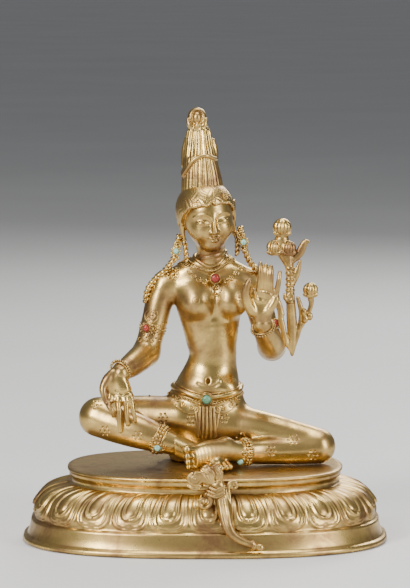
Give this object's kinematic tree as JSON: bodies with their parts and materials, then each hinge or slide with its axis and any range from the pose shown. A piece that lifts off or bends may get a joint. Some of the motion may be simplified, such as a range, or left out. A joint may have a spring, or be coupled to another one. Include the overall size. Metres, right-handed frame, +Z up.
{
  "type": "gilt bronze goddess figure",
  "caption": "Seated goddess in cast gilt bronze with a tall topknot, lotus sprays and inlaid stones, on an oval lotus pedestal.",
  "frame": {"origin": "on the surface that the pedestal stands on, under the middle of the pedestal's rim", "axes": "+Z up; the figure faces -Y and her right side is towards -X"},
  "size_m": [0.183, 0.121, 0.216],
  "materials": {
    "figure_gilding": "worn polished gilding over brown bronze, dark in the recesses",
    "base_bronze": "brown patinated bronze with gilding left on the petals and the rim",
    "lotus_bronze": "brown patinated bronze with bright edges",
    "green_turquoise": "waxy green turquoise",
    "pale_turquoise": "waxy pale turquoise",
    "coral": "waxy dark red coral"
  },
  "bodies": {
    "root": {"lotus_base": "base_bronze", "goddess_figure": "figure_gilding", "foot_lotus": "lotus_bronze", "shoulder_lotus": "lotus_bronze", "belt_turquoise": "green_turquoise", "right_earring_turquoise": "pale_turquoise", "left_earring_turquoise": "pale_turquoise", "right_anklet_turquoise": "pale_turquoise", "left_anklet_turquoise": "pale_turquoise", "necklace_coral": "coral", "right_armlet_coral": "coral", "left_armlet_coral": "coral"}
  },
  "joints": []
}
